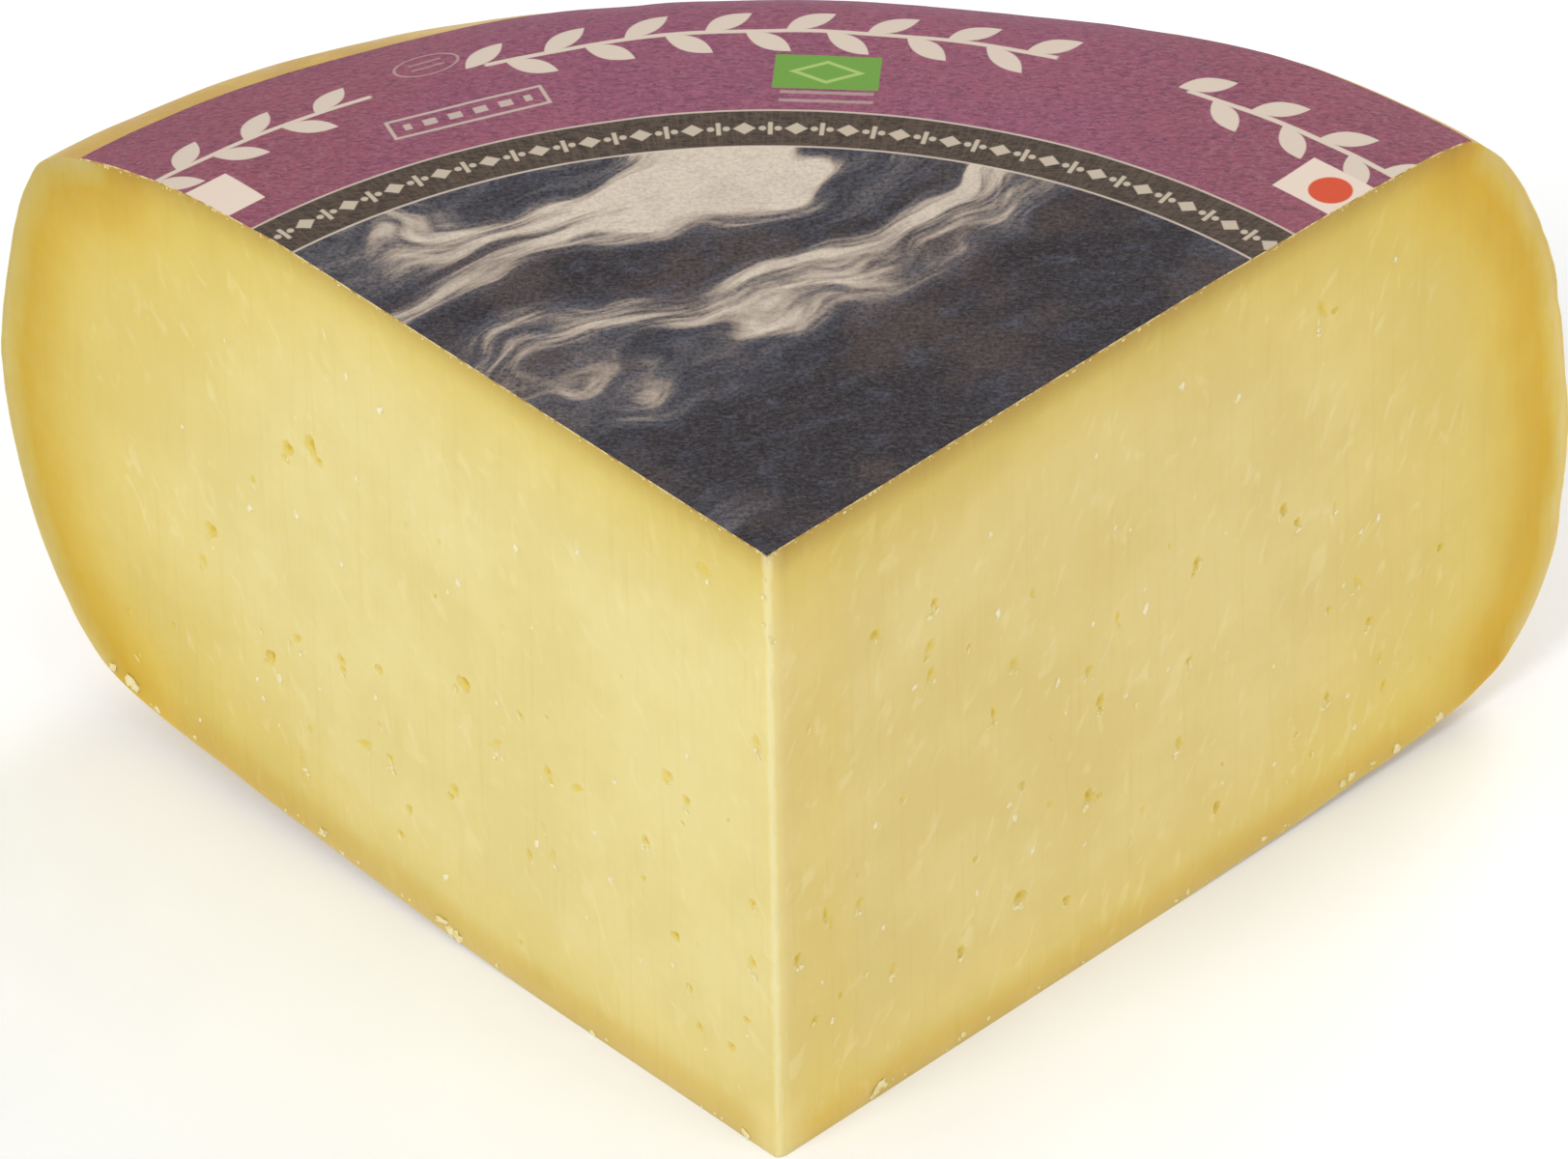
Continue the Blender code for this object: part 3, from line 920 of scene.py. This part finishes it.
def label_band(g, x, y, angle, radius, paper):
    """The purple band with its garland, and its small plain fields and outlines."""
    fibre, fleck, cloud = paper
    band = g.coats(
        g.mix(g.rise(cloud, 0.3, 0.7), rgb(142, 82, 101), rgb(134, 78, 102)),
        (g.rise(x.size(), 30, 65), SIDE_TINT, "MULTIPLY"),
        (g.rise(fleck, 0.46, 0.62, 0, 0.6), rgb(160, 112, 126)),
        (g.rise(fibre, 0.48, 0.64, 0, 0.65), rgb(98, 54, 74)),
        (g.rise(fibre, 0.46, 0.36, 0, 0.5), rgb(158, 76, 104)),
        (garland(g, angle, radius), CREAM),
    )

    u, v = turned(g, x, y, -44.5, 113.0, 20)
    oval = length(g, u / 4.4, v / 3.0)
    band = g.mix(g.band(oval, 0.92, 1.0, 0.04) * 0.55, band, INK)
    band = g.mix(oblong(g, u, v.size() - 0.8, 2.2, 0.22) * 0.4, band, INK)

    u, v = turned(g, x, y, -38.6, 99.9, 21)
    frame_line = oblong(g, u, v, 10.6, 2.3) - oblong(g, u, v, 10.1, 1.8)
    squares = oblong(g, u.wrap(3.4), v, 0.9, 0.7) * oblong(g, u, v, 8.6, 2)
    band = g.mix(most(g, frame_line, squares) * 0.8, band, INK)

    u, v = turned(g, x, y, 7.0, 102.0, -3)
    band = g.mix(oblong(g, u, v.size() - 0.9, 6.0, 0.32) * 0.45, band, INK)
    u, v = turned(g, x, y, 7.0, 107.5, -3)
    band = g.mix(oblong(g, u, v, 6.8, 3.8), band, rgb(108, 152, 66))
    lozenge = (u / 4.9).size() + (v / 2.6).size()
    band = g.mix(g.band(lozenge, 0.75, 1.0, 0.06) * 0.6, band, rgb(190, 205, 130))

    field = rgb(220, 203, 188)
    u, v = turned(g, x, y, 71.0, 83.2, -41)
    band = g.mix(oblong(g, u, v, 6.2, 4.1), band, field)
    band = g.mix(g.rise(length(g, u, v), 2.7, 3.0, 1, 0), band, rgb(205, 80, 52))
    u, v = turned(g, x, y, -71.0, 81.0, 41)
    return g.mix(oblong(g, u, v, 6.2, 4.1), band, field)


def label_ring(g, angle, radius, paper):
    """The grey-brown ring, with a run of lozenges, dots and bars."""
    fibre = paper[0]
    grain = g.noise(g.vector(angle * 280, radius * 0.25, 0), 1.0, 2)
    ring = g.mix(g.rise(fibre, 0.42, 0.62), rgb(84, 71, 61), rgb(58, 49, 43))
    ring = g.mix(g.rise(grain, 0.45, 0.65, 0, 0.3), ring, rgb(108, 94, 80))
    beat, rung = (angle * RING_MIDDLE).wrap(BEAD_PITCH), radius - RING_MIDDLE
    beads = most(
        g,
        g.rise((beat / 1.5).size() + (rung / 1.25).size(), 0.85, 1.1, 1, 0),
        oblong(g, beat.size() - BEAD_PITCH / 2, rung, 0.3, 1.3),
        g.rise(length(g, beat.size() - 2.3, rung), 0.35, 0.6, 1, 0),
    )
    return g.mix(beads * 0.85, ring, rgb(198, 184, 164))


def label_middle(g, x, y, paper):
    """Marbled paper in dark slate and cream, in wavy streaks."""
    fibre, fleck, cloud = paper
    u, w = x * 0.82 + y * 0.57, y * 0.82 - x * 0.57
    sway = g.noise(g.vector(u * 0.017, w * 0.022, 4.0), 1.0, 3, 0.5)
    streak = g.noise(g.vector(w * 0.034 + sway * 3.2, u * 0.006, 2.0), 1.0, 5, 0.6)
    vein = g.noise(g.vector(w * 0.16 + sway * 9.0, u * 0.02, 9.0), 1.0, 5, 0.66)
    tone = streak * 0.76 + vein * 0.24
    marble = g.ramp(tone, (
        (0.38, rgb(46, 40, 44)), (0.47, rgb(54, 50, 54)), (0.505, rgb(68, 68, 76)),
        (0.53, rgb(102, 98, 100)), (0.553, rgb(166, 151, 137)), (0.58, rgb(214, 200, 182)),
    ))
    dark = g.rise(tone, 0.53, 0.56, 1.0, 0.35)
    marble = g.mix(g.rise(cloud, 0.46, 0.66, 0, 0.5) * dark, marble, rgb(98, 82, 74))
    patch = g.noise(g.vector(u * 0.22, w * 0.3, 6.0), 1.0, 5, 0.7)
    marble = g.mix(g.rise(patch, 0.5, 0.68, 0, 0.45) * dark, marble, rgb(90, 94, 110))
    marble = g.mix(g.rise(fleck, 0.44, 0.64, 0, 0.32) * dark, marble, rgb(118, 112, 114))
    grit = g.noise(g.vector(x * 1.7, y * 1.7, 3.0), 1.0, 4, 0.8)
    grain = g.rise(grit, 0.42, 0.62, 0, 0.6) + g.rise(fibre, 0.42, 0.62, 0, 0.3)
    return g.mix(grain * dark, marble, rgb(134, 127, 137), "MULTIPLY")


def label_material():
    """Fibrous printed paper: a purple band, a grey-brown ring and a marbled middle."""
    g = Graph("label_print")
    here = g.place()
    px, py, pz = g.parts(here)
    x, y = (px - CENTRE[0]) / MM, (py - CENTRE[1]) / MM
    radius, angle = length(g, x, y), g.math("ARCTAN2", x, y)
    fibre = g.noise(g.vector(px * 800, py * 2400, pz * 2400), 1.0, 3, 0.75, 0.4)
    fleck = g.noise(g.vector(px * 1100, py * 1800, pz * 1800), 1.0, 4, 0.8, 0.3)
    paper = (fibre, fleck, g.noise(here, 55, 3, 0.6))
    ring = label_ring(g, angle, radius, paper)
    band = label_band(g, x, y, angle, radius, paper)
    colour = label_middle(g, x, y, paper)
    for edge, outer in ((MIDDLE_EDGE, ring), (BAND_EDGE, band)):
        colour = g.mix(g.rise(radius, edge - 0.15, edge + 0.15), colour, outer)
    lines = [g.band(radius, r - 0.17, r + 0.17, 0.12) for r in (MIDDLE_EDGE, BAND_EDGE)]
    colour = g.mix(most(g, *lines) * 0.8, colour, CREAM)
    g.bump(fibre * 0.6 + fleck * 0.4, 0.00018, 0.5)
    return g.finish(
        colour, g.rise(fleck, 0.3, 0.7, 0.55, 0.72), Specular_IOR_Level=0.15,
    )


def paper_edge_material():
    """The cut edge of the paper: pale fibres with cheese pressed into them."""
    g = Graph("label_cut_edge")
    here = g.place()
    fray = g.noise(here, 700, 3, 0.7)
    base = g.mix(g.rise(fray, 0.4, 0.6), rgb(222, 200, 138), rgb(172, 134, 66))
    g.bump(fray, 0.0001, 0.6)
    return g.finish(base, g.rise(fray, 0.3, 0.7, 0.6, 0.8), Specular_IOR_Level=0.2)


def build_label():
    """The paper: a thin closed sheet over the top and down the shoulder."""
    angles = np.linspace(RIGHT_CUT, LEFT_CUT, COLUMNS + 1)
    upper, lower = [], []
    for degrees in angles:
        column = column_rows(degrees)[:FLAT_ROWS + 6 * SPAN_STEPS]
        turn = direction(degrees)
        place = TIP + column[:, :1] * turn
        flat_edge = FLAT_ROWS
        walked = np.r_[0, np.cumsum(np.hypot(*np.diff(column[flat_edge:], axis=0).T))]
        start = math.dist(place[flat_edge], CENTRE)
        bearing = math.atan2(*(place[flat_edge] - CENTRE)[::-1])
        shift = LABEL_SHIFT_X * math.cos(bearing) + LABEL_SHIFT_Y * math.sin(bearing)
        limit = LABEL_RADIUS + shift - start
        stations = np.linspace(0, limit, LABEL_DRAPE_ROWS)
        bend = [np.interp(stations, walked, column[flat_edge:, i]) for i in (0, 1)]
        run = np.concatenate((column[:flat_edge], np.column_stack(bend)))
        outward = in_plane_normals(run)
        outward *= np.sign(outward[:, 1:])
        for shell, lift in ((upper, LABEL_LIFT + LABEL_THICKNESS), (lower, LABEL_LIFT)):
            shifted = run + outward * lift
            shell.append(np.column_stack((TIP + shifted[:, :1] * turn, shifted[:, 1])))
    rows = len(upper[0])
    verts, faces, tables = [], [], []
    for shell in (upper, lower):
        table = np.full((len(angles), rows), len(verts))
        verts.append(tuple(shell[0][0]))
        for ids, line in zip(table, shell):
            ids[1:] = range(len(verts), len(verts) + rows - 1)
            verts.extend(map(tuple, line[1:]))
        faces += grid_faces(table)
        tables.append(table)
    up, down = tables
    loop = (
        [(0, k) for k in range(rows)]
        + [(j, rows - 1) for j in range(1, len(angles))]
        + [(len(angles) - 1, k) for k in range(rows - 2, 0, -1)]
    )
    printed = len(faces)
    for here, there in zip(loop, loop[1:] + loop[:1]):
        corners = (up[here], up[there], down[there], down[here])
        faces.append(tuple(int(i) for i in corners))
    materials = (label_material(), paper_edge_material())
    return closed_object("label_skin", verts, faces, materials, printed, 40)


def crumb_material(name, light, dark):
    g = Graph(name)
    here = g.place()
    grain = g.noise(here, 1200, 3)
    g.bump(grain, 0.0001, 0.4)
    return g.finish(
        g.mix(g.rise(grain, 0.35, 0.65), light, dark), g.rise(grain, 0.3, 0.7, 0.5, 0.7),
        Specular_IOR_Level=0.3,
    )


class Surface:
    """The visible cheese, to lay small things on."""

    def __init__(self, body):
        mesh = body.data
        self.tree = BVHTree.FromPolygons(
            [v.co for v in mesh.vertices], [tuple(p.vertices) for p in mesh.polygons]
        )

    def land(self, a, z, on_right, lift=0.0):
        """A point of a cut, moved on to the real surface and then out of it by lift."""
        outside, inside = (
            Vector(place_on_cut([a], [z], [depth], on_right)[0]) for depth in (-SEEK, SEEK)
        )
        into = (inside - outside).normalized()
        hit = self.tree.ray_cast(outside, into, 2 * SEEK)[0]
        return None if hit is None else hit - into * lift


def as_object(name, bm, material, sharp):
    """A finished mesh, linked to the scene."""
    mesh = bpy.data.meshes.new(name)
    bm.to_mesh(mesh)
    bm.free()
    mesh.materials.append(material)
    smooth(mesh, sharp)
    return linked(name, mesh)


def lumps(name, spots, material):
    """Many small uneven lumps in one mesh: (place, (width, depth, height), turn) each."""
    rng = random.Random(name)
    bm = bmesh.new()
    for place, size, turn in spots:
        made = bmesh.ops.create_icosphere(bm, subdivisions=2, radius=0.5)
        offset = Vector((rng.uniform(0, 90), rng.uniform(0, 90), rng.uniform(0, 90)))
        for vert in made["verts"]:
            vert.co *= 1 + LUMPINESS * noise.noise(vert.co * 3.2 + offset)
        matrix = Matrix.Translation(place) @ turn @ Matrix.Diagonal((*size, 1))
        bmesh.ops.transform(bm, matrix=matrix, verts=made["verts"])
    return as_object(name, bm, material, 80)


def cut_turn(on_right, lean):
    """Local X along the cut, Y into the cheese, Z up, then leaned in the cut's plane."""
    yaw = 45 if on_right else -45
    return Matrix.Rotation(math.radians(yaw), 4, "Z") @ Matrix.Rotation(lean, 4, "Y")


@functools.cache
def cut_side(on_right):
    return reach_from_tip(RIGHT_CUT if on_right else LEFT_CUT)


def cut_limits(a, on_right):
    """Lowest and highest point of a cut at a distance from the tip."""
    low, high = limits(cut_side(on_right), a)
    return float(low), float(high)


def well_inside(a, z, on_right):
    """Whether a place lies well between a cut's lower and upper edge."""
    low, high = cut_limits(a, on_right)
    return low + FOOT_MARGIN < z < high - TOP_MARGIN


def build_specks(surface, eye_sets):
    """Small white crystals in the cuts."""
    rng = random.Random(SEED + 1)
    spots = []
    for on_right, eyes in zip((True, False), eye_sets):
        count = 0
        while count < SPECKS:
            a, z = rng.uniform(0.004, 0.114), 0.008 + 0.078 * rng.random() ** 1.2
            clear = all(math.dist((a, z), (e.a, e.z)) > SPECK_CLEARING for e in eyes)
            if not (clear and well_inside(a, z, on_right)):
                continue
            size = (0.4 + 0.5 * rng.random() ** 1.6) * MM
            shape = (size, size * 0.2, size * rng.uniform(1.1, 1.9))
            turn = cut_turn(on_right, rng.uniform(-0.2, 0.6))
            spots.append((surface.land(a, z, on_right), shape, turn))
            count += 1
    material = crumb_material("speck", rgb(236, 226, 190), rgb(229, 215, 168))
    return lumps("white_specks", spots, material)


def torn_bits(rng, eyes):
    """Places of the bits torn out below some of the larger eyes: (along, height, size)."""
    for eye in eyes:
        length = eye.half[1] * 2
        if length < LOBED_FROM * 0.8 or rng.random() > TORN_SHARE:
            continue
        for _ in range(rng.randint(1, 4)):
            a = eye.a + rng.uniform(-0.9, 0.7) * MM
            z = eye.z - length * rng.uniform(0.6, 1.15)
            size = rng.uniform(0.3, 0.75) * MM
            if clear_of(eyes, a, z):
                yield a, z, size


def clear_of(eyes, a, z):
    """Whether a place on a cut lies outside every hole and its lip."""
    return all(eye.ratio(a, z)[0] > CLEAR_RATIO for eye in eyes)


def build_crumbs(surface, eye_sets):
    """Crumbs and torn bits along the lower edges, under the paper and below the eyes."""
    rng = random.Random(SEED + 2)
    spots = []
    for on_right, eyes in zip((True, False), eye_sets):
        wanted = []
        for _ in range(FOOT_CRUMBS):
            a, size = 0.126 * rng.random(), (0.3 + 1.3 * rng.random() ** 2.2) * MM
            z = cut_limits(a, on_right)[0] + rng.uniform(0.1, 1.2) * MM + size * 0.4
            wanted.append((a, z, size))
        for _ in range(TOP_CRUMBS):
            a, size = 0.001 + 0.122 * rng.random(), (0.12 + 0.26 * rng.random() ** 2) * MM
            z = cut_limits(a, on_right)[1] - rng.uniform(0.0, 0.35) * MM - size * 0.2
            wanted.append((a, z, size))
        for _ in range(TIP_CRUMBS):
            a, size = rng.uniform(0.2, 1.1) * MM, rng.uniform(0.4, 0.9) * MM
            wanted.append((a, HEIGHT - 0.0010 - 0.014 * rng.random() ** 1.5, size))
        wanted += torn_bits(rng, eyes)
        for a, z, size in wanted:
            place = surface.land(a, z, on_right, size * 0.05)
            shape = (size * rng.uniform(0.8, 1.5), size * 0.26, size * rng.uniform(0.7, 1.3))
            turn = cut_turn(on_right, rng.uniform(-1, 1))
            if place is not None:
                spots.append((place, shape, turn))
    return lumps("crumbs", spots, crumb_material("crumb", rgb(236, 224, 174), rgb(228, 211, 148)))


def flake_starts(rng, eyes, on_right):
    """Where the knife's smears begin: (along, height, length, width)."""
    starts = []
    for eye in eyes:
        if rng.random() < 0.5:
            reach = eye.half.max()
            starts.append((
                eye.a + rng.uniform(-1.2, 0.3) * reach, eye.z - reach * rng.uniform(1.3, 2.2),
                rng.uniform(0.6, 1.6) * MM, rng.uniform(0.35, 0.7) * MM,
            ))
    while len(starts) < FLAKES:
        a, z = rng.uniform(0.004, 0.105), rng.uniform(0.006, 0.088)
        if well_inside(a, z, on_right):
            starts.append((a, z, rng.uniform(0.8, 2.6) * MM, rng.uniform(0.3, 0.75) * MM))
    return starts


def flake_rows(surface, start, heading, bend, on_right):
    """The left edge, ridge and right edge of one smear, laid on the surface."""
    a, z, length, width = start
    rows = ([], [], [])
    for i in range(FLAKE_STEPS):
        t = i / (FLAKE_STEPS - 1)
        turn = heading + bend * t
        if i:
            a += math.cos(turn) * length / (FLAKE_STEPS - 1)
            z += math.sin(turn) * length / (FLAKE_STEPS - 1)
        half = width * math.sin(math.pi * (0.08 + 0.84 * t)) / 2
        for row, way, lift in zip(rows, (1, 0, -1), (-FLAKE_SINK, FLAKE_LIFT, -FLAKE_SINK)):
            point = surface.land(
                a - math.sin(turn) * half * way, z + math.cos(turn) * half * way, on_right, lift
            )
            row.append(point)
    return rows


def build_flakes(surface, eye_sets):
    """Thin raised smears that the knife dragged, beside eyes and on their own."""
    rng = random.Random(SEED + 3)
    bm = bmesh.new()
    for on_right, eyes in zip((True, False), eye_sets):
        for start in flake_starts(rng, eyes, on_right):
            heading, bend = rng.uniform(0.5, 1.8), rng.uniform(-0.9, 0.9)
            rows = flake_rows(surface, start, heading, bend, on_right)
            if not clear_of(eyes, *start[:2]) or any(None in row for row in rows):
                continue
            rows = [[bm.verts.new(point) for point in row] for row in rows]
            for upper, lower in ((rows[0], rows[1]), (rows[1], rows[2]), (rows[2], rows[0])):
                for i in range(FLAKE_STEPS - 1):
                    bm.faces.new((upper[i], upper[i + 1], lower[i + 1], lower[i]))
            for i in (0, -1):
                bm.faces.new([row[i] for row in rows])
    bmesh.ops.recalc_face_normals(bm, faces=bm.faces)
    return as_object(
        "knife_flakes", bm, crumb_material("flake", rgb(230, 216, 156), rgb(226, 210, 144)), 60
    )


# The camera: a long lens, about 2 m away, looking from 39 degrees above
CAMERA_PLACE = Vector((TIP[0] + 0.0499, TIP[1] - 1.5265, HEIGHT + 1.2296))
CAMERA_RIGHT = Vector((0.99970, 0.01903, -0.01525))
CAMERA_UP = Vector((-0.00010, 0.62837, 0.77791))
CAMERA_LENS = 366.7
SENSOR_WIDTH = 36.0

FLOOR_REACH = 6.0


def build_camera():
    data = bpy.data.cameras.new("camera")
    data.lens = CAMERA_LENS
    data.sensor_width = SENSOR_WIDTH
    data.clip_start = 0.05
    data.clip_end = 20
    camera = linked("camera", data)
    right = CAMERA_RIGHT.normalized()
    up = (CAMERA_UP - right * CAMERA_UP.dot(right)).normalized()
    back = right.cross(up)
    camera.matrix_world = Matrix((
        (right.x, up.x, back.x, CAMERA_PLACE.x),
        (right.y, up.y, back.y, CAMERA_PLACE.y),
        (right.z, up.z, back.z, CAMERA_PLACE.z),
        (0, 0, 0, 1),
    ))
    bpy.context.scene.camera = camera


def floor_material():
    g = Graph("pale_floor")
    here = g.place()
    grain = g.noise(here, 30, 3)
    return g.finish(
        g.mix(g.rise(grain, 0.3, 0.7), rgb(245, 246, 247), rgb(248, 249, 250)),
        0.8, Specular_IOR_Level=0.2, Emission_Color=(0.8, 0.9, 1.0, 1.0), Emission_Strength=0.09,
    )


def build_stage():
    mesh = bpy.data.meshes.new("floor")
    turns = ((-1, -1), (1, -1), (1, 1), (-1, 1))
    corners = [(x * FLOOR_REACH, y * FLOOR_REACH, 0) for x, y in turns]
    mesh.from_pydata(corners, [], [(0, 1, 2, 3)])
    mesh.materials.append(floor_material())
    linked("floor", mesh)
    world = bpy.data.worlds.new("studio")
    world.use_nodes = True
    background = world.node_tree.nodes["Background"]
    background.inputs["Color"].default_value = (1.0, 1.0, 1.0, 1.0)
    background.inputs["Strength"].default_value = 0.55
    bpy.context.scene.world = world
    soft_light("key", (-0.9, -1.1, 1.3), 0.9, 16.0)
    soft_light("fill", (1.3, -0.9, 0.9), 0.9, 6.0, (1.0, 0.95, 0.84))
    soft_light("back", (0.7, 1.3, 1.2), 0.8, 12.0)


def soft_light(name, place, size, power, colour=(1.0, 1.0, 1.0)):
    data = bpy.data.lights.new(name, "AREA")
    data.shape = "SQUARE"
    data.size = size
    data.energy = power
    data.color = colour
    light = linked(name, data)
    light.location = place
    aim = Vector((0, 0, 0.05)) - Vector(place)
    light.rotation_mode = "QUATERNION"
    light.rotation_quaternion = aim.to_track_quat("-Z", "Y")


def main():
    body, eye_sets = build_cheese()
    label = build_label()
    surface = Surface(body)
    extras = [make(surface, eye_sets) for make in (build_specks, build_crumbs, build_flakes)]
    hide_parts("cheese")
    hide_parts("top_label")
    for piece in [body, label] + extras:
        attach(piece, "root")
    bpy.context.scene.view_settings.view_transform = "Standard"
    build_stage()
    build_camera()


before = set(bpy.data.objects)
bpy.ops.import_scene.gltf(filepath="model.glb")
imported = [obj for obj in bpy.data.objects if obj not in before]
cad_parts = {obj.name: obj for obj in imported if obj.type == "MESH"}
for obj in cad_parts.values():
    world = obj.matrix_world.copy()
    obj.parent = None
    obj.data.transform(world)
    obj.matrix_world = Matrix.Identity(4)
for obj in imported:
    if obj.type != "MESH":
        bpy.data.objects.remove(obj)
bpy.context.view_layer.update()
main()
